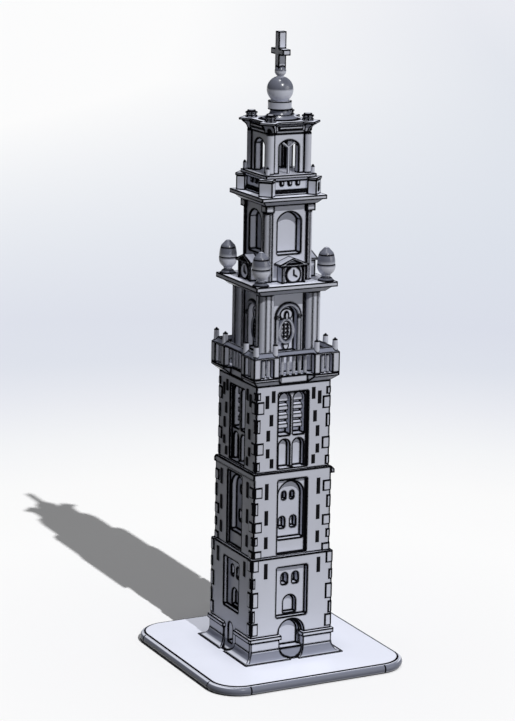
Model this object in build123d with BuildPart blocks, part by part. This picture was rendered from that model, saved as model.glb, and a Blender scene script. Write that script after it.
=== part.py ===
from build123d import *
import math
import os

# Display model of a tall square bell tower, cast in pieces and stacked on its own base plate.
# Millimetres. +Z is up, the side with the door arch faces -Y, and the origin is the centre of
# the plate's underside.

# --- heights above the underside of the plate ---
PLATE_TOP = 6.7
COVE_TOP = 14.0
LEDGE_BOTTOM = 20.4
LEDGE_TOP = 23.4
GROUND_TOP = 79.6
STRING_BOTTOM = 134.6
STRING_TOP = 139.6
BELFRY_TOP = 200.5
CORBEL_TOP = 204.3
GALLERY_FLOOR = 206.2
RAIL_EDGE = 220.3
RAIL_TOP = 223.7
SHIELD_TOP = 261.6
CORNICE_EDGE = 265.3
CORNICE_TOP = 268.7
CLOCK_EAVES = 280.4
ARCADE_TOP = 321.3
UPPER_EDGE = 324.4
UPPER_TOP = 327.3
PEDESTAL_TOP = 337.3
LANTERN_FLOOR = 341.3
LANTERN_TOP = 368.7
CROWN_TOP = 376.5
ROOF_TOP = 383.0
RING_TOP = 388.7
BALLS_MEET = 404.9
CROSS_FOOT = 409.0
TOTAL_HEIGHT = 435.0

# --- half-widths of the square stages ---
PLATE_FLAT = 71.0
FOOT_HALF = 32.0
LEDGE_HALF = 33.1
GROUND_HALF = 31.2
MIDDLE_HALF = 29.5
BELFRY_HALF = 28.3
GALLERY_HALF = 32.6
SHIELD_HALF = 23.4
SHIELD_WALL = 17.8
CORNICE_HALF = 30.7
ARCADE_HALF = 18.3
ARCADE_WALL = 17.1
UPPER_HALF = 24.4
PEDESTAL_HALF = 16.4
LANTERN_HALF = 14.6

# --- small step that parts a rounding or a hollow from the flat beside it ---
QUIRK = 0.35

SIDES = (0, 90, 180, 270)
SIDE_NAMES = ("front", "right", "back", "left")
FRONT_BACK = (0, 180)
LEFT_RIGHT = (90, 270)
CORNERS = ((-1, -1), (1, -1), (1, 1), (-1, 1))

PARTS = "parts"
os.makedirs(PARTS, exist_ok=True)


def save(piece, name):
    """Label a finished piece and write it as its own file."""
    piece.part.label = name
    export_step(piece.part, f"{PARTS}/{name}.step")


def side_plane(angle, distance, height=0.0, offset=0.0):
    """Upright plane facing out of one side: local x runs along the wall, local y is up."""
    turn = math.radians(angle)
    out = Vector(math.sin(turn), -math.cos(turn), 0)
    across = Vector(math.cos(turn), math.sin(turn), 0)
    centre = out * distance + across * offset + Vector(0, 0, height)
    return Plane(origin=centre, x_dir=across, z_dir=out)


def section_plane(angle, offset=0.0):
    """Upright plane square to one side: local x points out of the wall, local y is up."""
    turn = math.radians(angle)
    out = Vector(math.sin(turn), -math.cos(turn), 0)
    across = Vector(math.cos(turn), math.sin(turn), 0)
    return Plane(origin=across * offset, x_dir=out, z_dir=across * -1)


def block(half_x, half_y, bottom, top, mode=Mode.ADD):
    """Upright block centred on the tower's axis."""
    with BuildSketch(Plane.XY.offset(bottom)) as plan:
        Rectangle(2 * half_x, 2 * half_y)
    extrude(plan.sketch, amount=top - bottom, mode=mode)


def bead_cornered(size, radius):
    """Square plan whose corners are rounded and set in a little from the flats."""
    Rectangle(size, size - 2 * radius)
    Rectangle(size - 2 * radius, size)
    RectangleRounded(size - 2 * QUIRK, size - 2 * QUIRK, radius - QUIRK)


def flare(low_half, bottom, high_half, top, mode=Mode.ADD):
    """Square frustum between two heights."""
    with BuildSketch(Plane.XY.offset(bottom)) as low:
        Rectangle(2 * low_half, 2 * low_half)
    with BuildSketch(Plane.XY.offset(top)) as high:
        Rectangle(2 * high_half, 2 * high_half)
    loft([low.sketch.face(), high.sketch.face()], ruled=True, mode=mode)


def weathering(near, low_far, bottom, high_far, top):
    """Ledge with upright front and left faces whose right and back faces slope in as it rises."""
    with BuildSketch(Plane.XY.offset(bottom)) as low:
        with Locations(((low_far - near) / 2, (low_far - near) / 2)):
            Rectangle(low_far + near, low_far + near)
    with BuildSketch(Plane.XY.offset(top)) as high:
        with Locations(((high_far - near) / 2, (high_far - near) / 2)):
            Rectangle(high_far + near, high_far + near)
    loft([low.sketch.face(), high.sketch.face()], ruled=True)


def prism(plane, points, amount, both=False, mode=Mode.ADD):
    """Straight-edged outline on a plane, extruded."""
    with BuildSketch(plane) as outline:
        with BuildLine():
            Polyline(*points, close=True)
        make_face()
    extrude(outline.sketch, amount=amount, both=both, mode=mode)


def arch(angle, face, width, bottom, top, depth, offset=0.0, spring=None, mode=Mode.SUBTRACT):
    """Arched recess sunk into one side's face; half-round unless a spring height is given."""
    half = width / 2
    spring = top - half if spring is None else spring
    with BuildSketch(side_plane(angle, face, 0, offset)) as outline:
        with BuildLine():
            Polyline((-half, spring), (-half, bottom), (half, bottom), (half, spring))
            ThreePointArc((half, spring), (0, top), (-half, spring))
        make_face()
    extrude(outline.sketch, amount=-depth, mode=mode)


def panel(angle, face, width, bottom, top, depth, offset=0.0, mode=Mode.SUBTRACT):
    """Rectangular recess sunk into one side's face, or a block raised from it."""
    with BuildSketch(side_plane(angle, face, (bottom + top) / 2, offset)) as outline:
        Rectangle(width, top - bottom)
    extrude(outline.sketch, amount=-depth, mode=mode)


# ------------------------------------------------------------------ base plate
PLATE_CORNER = 19.5
PLATE_ROUND = 3.1

with BuildPart() as base_plate:
    with BuildSketch(Plane.XY):
        rim = PLATE_FLAT + PLATE_ROUND
        RectangleRounded(2 * rim, 2 * rim, PLATE_CORNER + PLATE_ROUND)
    extrude(amount=PLATE_TOP - QUIRK)
    fillet(base_plate.edges().filter_by(Plane.XY), PLATE_ROUND)
    with BuildSketch(Plane.XY.offset(PLATE_TOP)):
        RectangleRounded(2 * PLATE_FLAT, 2 * PLATE_FLAT, PLATE_CORNER)
    extrude(amount=-1.0)
save(base_plate, "base_plate")

# ------------------------------------------------------------------ flared foot
COVE_REACH = 6.2
COVE_TOE = 0.5
GAP_HALF = 9.2
CORE_HALF = 26.0


def coved_slab(plane, low, high, amount, mode=Mode.ADD):
    """Slab whose two ends spread in a hollow curve down to the plate."""
    rise = COVE_TOP - PLATE_TOP - COVE_TOE
    bend = math.sqrt(0.5)
    hollow = COVE_REACH * (1 - bend)
    mid = COVE_TOP - rise * bend
    toe = PLATE_TOP + COVE_TOE
    with BuildSketch(plane) as outline:
        with BuildLine():
            Polyline(
                (low - QUIRK, COVE_TOP),
                (low, COVE_TOP),
                (low, LEDGE_BOTTOM),
                (high, LEDGE_BOTTOM),
                (high, COVE_TOP),
                (high + QUIRK, COVE_TOP),
            )
            ThreePointArc((high + QUIRK, COVE_TOP), (high + hollow, mid), (high + COVE_REACH, toe))
            Polyline(
                (high + COVE_REACH, toe),
                (high + COVE_REACH, PLATE_TOP),
                (low - COVE_REACH, PLATE_TOP),
                (low - COVE_REACH, toe),
            )
            ThreePointArc((low - COVE_REACH, toe), (low - hollow, mid), (low - QUIRK, COVE_TOP))
        make_face()
    extrude(outline.sketch, amount=amount, mode=mode)


def foot_chamfer(sign_x, sign_y):
    """Cut the corner's outer arris back to a narrow flat that runs down the hollow curve."""
    cut = 0.7
    rise = COVE_TOP - PLATE_TOP - COVE_TOE
    bend = math.sqrt(0.5)
    wall = math.sqrt(2) * FOOT_HALF - cut
    ledge = math.sqrt(2) * LEDGE_HALF - cut
    hollow = math.sqrt(2) * COVE_REACH * (1 - bend)
    reach = wall + math.sqrt(2) * COVE_REACH
    toe = PLATE_TOP + COVE_TOE
    diagonal = Plane(origin=(0, 0, 0), x_dir=(sign_x, sign_y, 0), z_dir=(sign_y, -sign_x, 0))
    with BuildSketch(diagonal) as outline:
        with BuildLine():
            Polyline(
                (wall, COVE_TOP),
                (wall, LEDGE_BOTTOM),
                (ledge, LEDGE_BOTTOM),
                (ledge, LEDGE_TOP + 1),
                (0, LEDGE_TOP + 1),
                (0, PLATE_TOP),
                (reach, PLATE_TOP),
                (reach, toe),
            )
            ThreePointArc((reach, toe), (wall + hollow, COVE_TOP - rise * bend), (wall, COVE_TOP))
        make_face()
    extrude(outline.sketch, amount=60, both=True, mode=Mode.INTERSECT)


def foot_corner(sign_x, sign_y):
    """One corner block of the flared foot, wrapped round the shaft's corner."""
    low_x, high_x = sorted((sign_x * GAP_HALF, sign_x * FOOT_HALF))
    low_y, high_y = sorted((sign_y * GAP_HALF, sign_y * FOOT_HALF))
    middle = (sign_x * (GAP_HALF + FOOT_HALF) / 2, sign_y * (GAP_HALF + FOOT_HALF) / 2)
    ledge_size = 2 * LEDGE_HALF - FOOT_HALF - GAP_HALF
    with BuildPart() as corner:
        coved_slab(Plane.XZ.offset(60), low_x, high_x, -120)
        coved_slab(Plane.YZ.offset(-60), low_y, high_y, 120, Mode.INTERSECT)
        with BuildSketch(Plane.XY.offset(LEDGE_BOTTOM)):
            with Locations(middle):
                Rectangle(ledge_size, ledge_size)
        extrude(amount=LEDGE_TOP - LEDGE_BOTTOM)
        foot_chamfer(sign_x, sign_y)
        block(CORE_HALF, CORE_HALF, 0, LEDGE_TOP + 1, Mode.SUBTRACT)
    return corner


foot_corners = [foot_corner(sign_x, sign_y) for sign_x, sign_y in CORNERS]
for index, corner in enumerate(foot_corners, start=1):
    save(corner, f"foot_corner_{index}")

# ------------------------------------------------------------------ ground stage
WALL_COVE = 5.2
WINDOW_DEPTH = 9.0


def wall_cove(angle):
    """Hollow curve at the foot of the wall, in the gap between two corner blocks."""
    rise = COVE_TOP - PLATE_TOP - COVE_TOE
    bend = math.sqrt(0.5)
    reach = GROUND_HALF + WALL_COVE
    middle = (GROUND_HALF + WALL_COVE * (1 - bend), COVE_TOP - rise * bend)
    with BuildSketch(section_plane(angle)) as outline:
        with BuildLine():
            Polyline(
                (GROUND_HALF, COVE_TOP),
                (CORE_HALF, COVE_TOP),
                (CORE_HALF, PLATE_TOP),
                (reach, PLATE_TOP),
                (reach, PLATE_TOP + COVE_TOE),
            )
            ThreePointArc((reach, PLATE_TOP + COVE_TOE), middle, (GROUND_HALF, COVE_TOP))
        make_face()
    extrude(outline.sketch, amount=GAP_HALF, both=True)


with BuildPart() as ground_stage:
    block(GROUND_HALF, GROUND_HALF, PLATE_TOP, GROUND_TOP)
    weathering(MIDDLE_HALF, GROUND_HALF, GROUND_TOP, MIDDLE_HALF, GROUND_TOP + 2.0)
    block(MIDDLE_HALF, MIDDLE_HALF, GROUND_TOP, GROUND_TOP + 3.0, Mode.SUBTRACT)
    for angle in SIDES:
        wall_cove(angle)
    for corner in foot_corners:
        add(corner.part, mode=Mode.SUBTRACT)
    for angle in SIDES:
        panel(angle, GROUND_HALF, 23.3, 36.3, 71.8, 3.3)
        for offset in (-4.2, 4.2):
            arch(angle, GROUND_HALF, 4.4, 58.8, 66.5, WINDOW_DEPTH, offset)
        arch(angle, GROUND_HALF, 9.3, 37.9, 50.2, 6.6)
    for angle in FRONT_BACK:
        arch(angle, GROUND_HALF, 19.6, COVE_TOP, 34.0, 3.3)
        arch(angle, GROUND_HALF, 15.0, COVE_TOP, 32.0, 6.6)
    for angle in LEFT_RIGHT:
        arch(angle, GROUND_HALF + COVE_REACH, 7.0, 11.8, 26.0, COVE_REACH + 5.0)
save(ground_stage, "ground_stage")

# ------------------------------------------------------------------ middle stage
with BuildPart() as middle_stage:
    block(MIDDLE_HALF, MIDDLE_HALF, GROUND_TOP, STRING_TOP)
    panel(270, MIDDLE_HALF, 2 * MIDDLE_HALF, 135.4, STRING_TOP, -0.3, mode=Mode.ADD)
    for angle in SIDES:
        panel(angle, MIDDLE_HALF, 22.2, 80.8, 133.4, 2.4)
        arch(angle, MIDDLE_HALF, 19.2, 90.9, 131.4, 6.9)
        for offset in (-3.1, 3.1):
            arch(angle, MIDDLE_HALF, 2.7, 117.8, 123.2, WINDOW_DEPTH + 2, offset)
        for offset in (-4.3, 4.3):
            arch(angle, MIDDLE_HALF, 4.1, 97.6, 105.3, WINDOW_DEPTH + 2, offset)
save(middle_stage, "middle_stage")

# ------------------------------------------------------------------ string course
STRING_EDGE = 137.3
STRING_OUT = 32.4

with BuildPart() as string_course:
    weathering(MIDDLE_HALF, STRING_OUT, STRING_BOTTOM, STRING_OUT, STRING_EDGE)
    weathering(MIDDLE_HALF, STRING_OUT, STRING_EDGE, 30.1, STRING_TOP)
    add(middle_stage.part, mode=Mode.SUBTRACT)
    block(MIDDLE_HALF, MIDDLE_HALF, STRING_BOTTOM, STRING_TOP, Mode.SUBTRACT)
save(string_course, "string_course")

# ------------------------------------------------------------------ belfry stage
BELFRY_PANEL = 2.2
LOUVRE_OFFSET = 5.5
LOUVRE_WIDTH = 8.6
LOUVRE_TOP = 193.4
LOUVRE_DEPTH = 9.0
SLATS = 3
SLAT_PITCH = 6.3
SLAT_FOOT = 168.0
SLAT_FACE = 3.3
SLAT_RISE = 1.5
SLAT_DEPTH = 3.0
SET_BACK = 3.2

with BuildPart() as belfry_stage:
    block(BELFRY_HALF, BELFRY_HALF, STRING_TOP, BELFRY_TOP)
    for angle in SIDES:
        panel(angle, BELFRY_HALF, 22.6, 141.5, 194.3, BELFRY_PANEL)
        for offset in (-LOUVRE_OFFSET, LOUVRE_OFFSET):
            arch(angle, BELFRY_HALF, LOUVRE_WIDTH, 164.2, LOUVRE_TOP, LOUVRE_DEPTH, offset)
        for offset in (-5.3, 5.3):
            arch(angle, BELFRY_HALF, 8.1, 141.5, 161.0, 6.0, offset)
save(belfry_stage, "belfry_stage")

for angle, side in zip(SIDES, SIDE_NAMES):
    with BuildPart() as louvres:
        outer = BELFRY_HALF - BELFRY_PANEL - SET_BACK
        inner = outer - SLAT_DEPTH
        head = SLAT_FOOT + SLATS * SLAT_PITCH
        for offset in (-LOUVRE_OFFSET, LOUVRE_OFFSET):
            for index in range(SLATS):
                foot = SLAT_FOOT + index * SLAT_PITCH
                slat = (
                    (outer, foot),
                    (outer, foot + SLAT_FACE),
                    (inner, foot + SLAT_FACE + SLAT_RISE),
                    (inner, foot + SLAT_RISE),
                )
                prism(section_plane(angle, offset), slat, LOUVRE_WIDTH / 2, both=True)
            arch(angle, outer, LOUVRE_WIDTH, head, LOUVRE_TOP, SLAT_DEPTH, offset, mode=Mode.ADD)
    save(louvres, f"louvres_{side}")

# ------------------------------------------------------------------ gallery
RECESS_OUT = 13.2
RECESS_IN = 10.3


def gallery_outline():
    """Gallery plan: a square with a splayed recess in every side."""
    points = []
    for angle in SIDES:
        turn = math.radians(angle)
        side = (
            (-GALLERY_HALF, GALLERY_HALF),
            (-RECESS_OUT, GALLERY_HALF),
            (-RECESS_IN, BELFRY_HALF),
            (RECESS_IN, BELFRY_HALF),
            (RECESS_OUT, GALLERY_HALF),
        )
        for across, out in side:
            x = across * math.cos(turn) + out * math.sin(turn)
            y = across * math.sin(turn) - out * math.cos(turn)
            points.append((x, y))
    return points


def gallery_slab(bottom, top, mode=Mode.ADD):
    """Flat layer with the gallery's plan."""
    prism(Plane.XY.offset(bottom), gallery_outline(), top - bottom, mode=mode)


with BuildPart() as gallery_floor:
    flare(BELFRY_HALF, BELFRY_TOP, GALLERY_HALF, CORBEL_TOP)
    gallery_slab(BELFRY_TOP, CORBEL_TOP, mode=Mode.INTERSECT)
    gallery_slab(CORBEL_TOP, GALLERY_FLOOR)
save(gallery_floor, "gallery_floor")

PARAPET_INSIDE = 28.0
COPING_INSIDE = 25.8
COPING_RIDGE = 29.2
BAY_CENTRE = 22.55
BAY_WIDTH = 9.1
BAY_TOP = 219.5
BALUSTER_RADIUS = 1.15
BAY_BALUSTERS = (-1.85, 1.85)
BAY_LINE = 29.9
CENTRE_BALUSTERS = (-8.8, -4.4, 0.0, 4.4, 8.8)
CENTRE_LINE = 27.15


def balusters(angle, line, places):
    """Round upright bars along one side, from the floor to the coping."""
    turn = math.radians(angle)
    with BuildSketch(Plane.XY.offset(GALLERY_FLOOR)) as plan:
        for across in places:
            x = across * math.cos(turn) + line * math.sin(turn)
            y = across * math.sin(turn) - line * math.cos(turn)
            with Locations((x, y)):
                Circle(BALUSTER_RADIUS)
    extrude(plan.sketch, amount=RAIL_EDGE - GALLERY_FLOOR)


with BuildPart() as gallery_parapet:
    block(GALLERY_HALF, GALLERY_HALF, GALLERY_FLOOR, RAIL_EDGE)
    block(PARAPET_INSIDE, PARAPET_INSIDE, GALLERY_FLOOR, RAIL_EDGE, Mode.SUBTRACT)
    for angle in SIDES:
        through = GALLERY_HALF - PARAPET_INSIDE + 1
        panel(angle, GALLERY_HALF, 2 * RECESS_OUT, GALLERY_FLOOR, RAIL_EDGE, through)
        for bay in (-BAY_CENTRE, BAY_CENTRE):
            panel(angle, GALLERY_HALF, BAY_WIDTH, GALLERY_FLOOR, BAY_TOP, through, bay)
    flare(GALLERY_HALF, RAIL_EDGE, COPING_RIDGE + 0.3, RAIL_TOP)
    flare(COPING_INSIDE, RAIL_EDGE, COPING_RIDGE - 0.3, RAIL_TOP, Mode.SUBTRACT)
    for angle in SIDES:
        balusters(angle, CENTRE_LINE, CENTRE_BALUSTERS)
        for bay in (-BAY_CENTRE, BAY_CENTRE):
            balusters(angle, BAY_LINE, [bay + shift for shift in BAY_BALUSTERS])
save(gallery_parapet, "gallery_parapet")

PEG_LINE = 30.3
PEG_ACROSS = 15.8
PEG_CORNER = 30.0
PEG_FOOT = 2.05
PEG_HEAD = 1.75


def peg_spots():
    """Plan positions of the capped pegs: two on each side's rail and one at each corner."""
    spots = [(sign_x * PEG_CORNER, sign_y * PEG_CORNER) for sign_x, sign_y in CORNERS]
    for sign in (-1, 1):
        for across in (-PEG_ACROSS, PEG_ACROSS):
            spots.append((across, sign * PEG_LINE))
            spots.append((sign * PEG_LINE, across))
    return spots


def turned(spots, profile):
    """Solid of revolution of an outline of (radius, height) points, at each plan position."""
    for x, y in spots:
        plane = Plane(origin=(x, y, 0), x_dir=(1, 0, 0), z_dir=(0, -1, 0))
        with BuildSketch(plane) as outline:
            with BuildLine():
                Polyline(*profile, close=True)
            make_face()
        revolve(outline.sketch, axis=Axis((x, y, 0), (0, 0, 1)))


with BuildPart() as gallery_pegs:
    peg = (
        (0, 220.5),
        (PEG_FOOT, 220.5),
        (PEG_HEAD, 228.8),
        (0.9, 228.8),
        (0.9, 229.4),
        (0.4, 230.0),
        (0, 230.0),
    )
    turned(peg_spots(), peg)
    add(gallery_parapet.part, mode=Mode.SUBTRACT)
save(gallery_pegs, "gallery_pegs")

# ------------------------------------------------------------------ shield stage
PIER = 11.4
PIER_ROUND = 3.8
ARCH_RADIUS = 8.4
MOULDING = 1.2
ARCH_SPRING = 244.4
NICHE_DEPTH = 5.0
NICHE_FLOOR = 220.0

with BuildPart() as shield_stage:
    block(SHIELD_WALL, SHIELD_WALL, GALLERY_FLOOR, SHIELD_TOP)
    with BuildSketch(Plane.XY.offset(GALLERY_FLOOR)) as pier_plan:
        with GridLocations(2 * SHIELD_HALF - PIER, 2 * SHIELD_HALF - PIER, 2, 2):
            bead_cornered(PIER, PIER_ROUND)
    extrude(pier_plan.sketch, amount=SHIELD_TOP - GALLERY_FLOOR)
    for angle in SIDES:
        wall = side_plane(angle, SHIELD_WALL, ARCH_SPRING)
        across_plane = Plane(origin=wall.origin, x_dir=wall.x_dir, z_dir=(0, 0, 1))
        with BuildSketch(across_plane, mode=Mode.PRIVATE) as ring_section:
            with Locations((ARCH_RADIUS, 0)):
                Circle(MOULDING)
        revolve(ring_section.sketch, axis=Axis(wall.origin, wall.z_dir), revolution_arc=180)
        with BuildSketch(across_plane, mode=Mode.PRIVATE) as jamb_section:
            with Locations((-ARCH_RADIUS, 0), (ARCH_RADIUS, 0)):
                Circle(MOULDING)
        extrude(jamb_section.sketch, amount=GALLERY_FLOOR - ARCH_SPRING)
        for offset in (-ARCH_RADIUS, ARCH_RADIUS):
            panel(angle, SHIELD_WALL, 3.4, ARCH_SPRING - 0.4, ARCH_SPRING + 0.5, -1.6, offset, Mode.ADD)
        arch(angle, SHIELD_WALL, 14.0, NICHE_FLOOR, ARCH_SPRING + 7.0, NICHE_DEPTH)
save(shield_stage, "shield_stage")

OVAL_MIDDLE = 234.2
CREST_MIDDLE = 245.4
PENDANT_MIDDLE = 223.8
NICHE_BACK = SHIELD_WALL - NICHE_DEPTH


def oval(angle, distance, height, half_width, half_height, amount, mode=Mode.ADD):
    """Upright oval slab that stands out of one side."""
    with BuildSketch(side_plane(angle, distance, height)) as outline:
        Ellipse(half_width, half_height)
    extrude(outline.sketch, amount=amount, mode=mode)


OVAL_THICK = 3.4
OVAL_SUNK = 1.5
CREST_THICK = 2.6

for angle, side in zip(SIDES, SIDE_NAMES):
    with BuildPart() as cartouche:
        oval(angle, NICHE_BACK, OVAL_MIDDLE, 6.5, 9.2, OVAL_THICK)
        oval(angle, NICHE_BACK + OVAL_THICK, OVAL_MIDDLE, 4.1, 6.9, -OVAL_SUNK, Mode.SUBTRACT)
        outwards = Axis((0, 0, 0), side_plane(angle, 0).z_dir)
        fillet(cartouche.edges().group_by(outwards)[-1], 1.0)
        field = side_plane(angle, NICHE_BACK + OVAL_THICK - OVAL_SUNK, OVAL_MIDDLE)
        with BuildSketch(field, mode=Mode.PRIVATE) as studs:
            with GridLocations(2.8, 2.7, 2, 4):
                RegularPolygon(0.95, 4)
        extrude(studs.sketch, amount=0.9)
        oval(angle, NICHE_BACK, CREST_MIDDLE, 4.9, 4.4, CREST_THICK)
        oval(angle, NICHE_BACK + CREST_THICK, CREST_MIDDLE - 0.6, 1.5, 2.7, 0.9)
        oval(angle, NICHE_BACK, PENDANT_MIDDLE, 2.4, 3.0, CREST_THICK)
    save(cartouche, f"cartouche_{side}")

# ------------------------------------------------------------------ great cornice
with BuildPart() as great_cornice:
    flare(24.5, SHIELD_TOP, 28.4, CORNICE_EDGE)
    block(CORNICE_HALF, CORNICE_HALF, CORNICE_EDGE, CORNICE_TOP)
save(great_cornice, "great_cornice")

URN_SPOT = 24.7
for index, (sign_x, sign_y) in enumerate(CORNERS, start=1):
    x, y = sign_x * URN_SPOT, sign_y * URN_SPOT
    with BuildPart() as urn:
        with BuildSketch(Plane(origin=(x, y, 0), x_dir=(1, 0, 0), z_dir=(0, -1, 0))):
            with BuildLine():
                Polyline(
                    (0, CORNICE_TOP),
                    (5.8, CORNICE_TOP),
                    (3.9, 271.0),
                    (3.2, 271.0),
                    (2.9, 272.1),
                    (3.3, 273.2),
                )
                ThreePointArc((3.3, 273.2), (5.6, 275.9), (6.2, 279.9))
                Polyline((6.2, 279.9), (5.8, 279.9), (5.8, 280.4), (6.1, 280.4))
                ThreePointArc((6.1, 280.4), (5.9, 283.6), (5.3, 286.4))
                Polyline((5.3, 286.4), (4.8, 286.4), (4.8, 286.9), (5.2, 286.9))
                Polyline((5.2, 286.9), (4.6, 288.2), (1.6, 291.4), (0, 292.0), (0, CORNICE_TOP))
            make_face()
        revolve(axis=Axis((x, y, 0), (0, 0, 1)))
    save(urn, f"urn_{index}")

# ------------------------------------------------------------------ arcade stage
STRIP_INSIDE = 13.1
ARCADE_ROUND = 3.2
CAPITAL = 6.6
CAPITAL_BOTTOM = 316.1
CAPITAL_HALF = 18.8

with BuildPart() as arcade_stage:
    with BuildSketch(Plane.XY.offset(CORNICE_TOP)):
        bead_cornered(2 * ARCADE_HALF, ARCADE_ROUND)
    extrude(amount=ARCADE_TOP - CORNICE_TOP)
    for angle in SIDES:
        depth = ARCADE_HALF - ARCADE_WALL
        panel(angle, ARCADE_HALF, 2 * STRIP_INSIDE, CORNICE_TOP, ARCADE_TOP, depth)
        arch(angle, ARCADE_HALF, 17.4, 287.5, 315.8, 7.2, spring=310.4)
    with BuildSketch(Plane.XY.offset(CAPITAL_BOTTOM)):
        with GridLocations(2 * CAPITAL_HALF - CAPITAL, 2 * CAPITAL_HALF - CAPITAL, 2, 2):
            Rectangle(CAPITAL, CAPITAL)
    extrude(amount=ARCADE_TOP - CAPITAL_BOTTOM)
save(arcade_stage, "arcade_stage")

# ------------------------------------------------------------------ clock houses
HOUSE_HALF = 8.8
HOUSE_FRONT = 25.1
PEDIMENT_HALF = 11.3
PEDIMENT_TOP = 286.2
PEDIMENT_OUT = 0.8
DIAL_RADIUS = 5.7
DIAL_HEIGHT = 274.5

for angle, side in zip(SIDES, SIDE_NAMES):
    reach = HOUSE_FRONT - ARCADE_WALL
    gable = (
        (-PEDIMENT_HALF, CLOCK_EAVES),
        (PEDIMENT_HALF, CLOCK_EAVES),
        (PEDIMENT_HALF, CLOCK_EAVES + 1.2),
        (0, PEDIMENT_TOP),
        (-PEDIMENT_HALF, CLOCK_EAVES + 1.2),
    )
    tympanum = ((-6.6, CLOCK_EAVES + 1.3), (6.6, CLOCK_EAVES + 1.3), (0, PEDIMENT_TOP - 1.6))
    gable_front = HOUSE_FRONT + PEDIMENT_OUT
    with BuildPart() as clock_house:
        panel(angle, HOUSE_FRONT, 2 * HOUSE_HALF, CORNICE_TOP, CLOCK_EAVES, reach, mode=Mode.ADD)
        prism(side_plane(angle, ARCADE_WALL), gable, reach + PEDIMENT_OUT)
        prism(side_plane(angle, gable_front), tympanum, -2.0, mode=Mode.SUBTRACT)
        panel(angle, HOUSE_FRONT, 14.6, CORNICE_TOP, 280.3, 1.4)
        with BuildSketch(side_plane(angle, HOUSE_FRONT - 1.4, DIAL_HEIGHT), mode=Mode.PRIVATE) as dial:
            Circle(DIAL_RADIUS)
        extrude(dial.sketch, amount=1.0)
    save(clock_house, f"clock_house_{side}")

# ------------------------------------------------------------------ upper cornice
with BuildPart() as upper_cornice:
    flare(19.5, ARCADE_TOP, 22.6, UPPER_EDGE)
    block(UPPER_HALF, UPPER_HALF, UPPER_EDGE, UPPER_TOP)
save(upper_cornice, "upper_cornice")

# ------------------------------------------------------------------ pedestal
PIER_FACE = 20.1 * math.sqrt(2)
PIER_DEPTH = 6.5
PIER_WIDTH = 9.8
CAP_OUT = 0.5
CAP_TOP = 339.0
SLOT_CORNERS = (135, 315)

with BuildPart() as pedestal:
    block(PEDESTAL_HALF, PEDESTAL_HALF, UPPER_TOP, PEDESTAL_TOP)
    block(PEDESTAL_HALF + 1.6, PEDESTAL_HALF + 1.6, UPPER_TOP, 329.2)
    block(PEDESTAL_HALF + 0.8, PEDESTAL_HALF + 0.8, UPPER_TOP, 330.6)
    for angle in SIDES:
        for offset in (-6.0, 0.0, 6.0):
            panel(angle, PEDESTAL_HALF, 2.4, 334.0, PEDESTAL_TOP, -1.2, offset, Mode.ADD)
    with BuildSketch(Plane.XY.offset(UPPER_TOP)):
        with PolarLocations(PIER_FACE - PIER_DEPTH / 2, 4, 45):
            Rectangle(PIER_DEPTH, PIER_WIDTH)
    extrude(amount=PEDESTAL_TOP - UPPER_TOP)
    for angle in SLOT_CORNERS:
        turn = math.radians(angle)
        out = Vector(math.cos(turn), math.sin(turn), 0)
        face = Plane(origin=out * PIER_FACE + Vector(0, 0, 332.4), x_dir=(0, 0, 1), z_dir=out)
        with BuildSketch(face, mode=Mode.PRIVATE) as slot:
            Rectangle(5.0, 3.4)
        extrude(slot.sketch, amount=-0.8, mode=Mode.SUBTRACT)
save(pedestal, "pedestal")

with BuildPart() as pedestal_rail:
    flare(PEDESTAL_HALF + 1.2, PEDESTAL_TOP, 19.0, 339.3)
    block(19.0, 19.0, 339.3, LANTERN_FLOOR)
    with BuildSketch(Plane.XY.offset(PEDESTAL_TOP)):
        with PolarLocations(PIER_FACE + CAP_OUT - PIER_DEPTH / 2, 4, 45):
            Rectangle(PIER_DEPTH, PIER_WIDTH + 2 * CAP_OUT)
    extrude(amount=CAP_TOP - PEDESTAL_TOP)
save(pedestal_rail, "pedestal_rail")

with BuildPart() as pedestal_pegs:
    peg = (
        (0, LANTERN_FLOOR),
        (1.3, LANTERN_FLOOR),
        (1.25, 346.0),
        (0.9, 346.0),
        (0.9, 346.6),
        (0.4, 347.3),
        (0, 347.3),
    )
    turned([(sign_x * 17.0, sign_y * 17.0) for sign_x, sign_y in CORNERS], peg)
save(pedestal_pegs, "pedestal_pegs")

# ------------------------------------------------------------------ lantern
COLUMN_SPOT = 14.05
COLUMN_RADIUS = 2.7
LANTERN_INSIDE = 9.4
OPENING = 14.4
OPENING_TOP = 363.8
OPENING_SPRING = 360.3

with BuildPart() as lantern:
    block(LANTERN_HALF, LANTERN_HALF, LANTERN_FLOOR, LANTERN_TOP)
    with BuildSketch(Plane.XY.offset(LANTERN_FLOOR)):
        with GridLocations(2 * COLUMN_SPOT, 2 * COLUMN_SPOT, 2, 2):
            Circle(COLUMN_RADIUS)
    extrude(amount=LANTERN_TOP - LANTERN_FLOOR)
    block(LANTERN_INSIDE, LANTERN_INSIDE, LANTERN_FLOOR, OPENING_TOP + 1.5, Mode.SUBTRACT)
    for angle in SIDES:
        arch(angle, LANTERN_HALF, OPENING, LANTERN_FLOOR, OPENING_TOP, 6.0, spring=OPENING_SPRING)
save(lantern, "lantern")

MULLION = 1.5
POST_TOP = 359.4
for angle, side in zip(FRONT_BACK, ("front", "back")):
    with BuildPart() as tracery:
        face = side_plane(angle, LANTERN_HALF - 0.3)
        panel(angle, LANTERN_HALF - 0.3, MULLION, LANTERN_FLOOR, POST_TOP, MULLION, mode=Mode.ADD)
        for sign in (-1, 1):
            arm = ((0, 358.2), (0, 359.9), (sign * 5.2, 364.0), (sign * 5.2, 362.3))
            prism(face, arm, -MULLION)
        add(lantern.part, mode=Mode.SUBTRACT)
    save(tracery, f"tracery_{side}")

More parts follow.
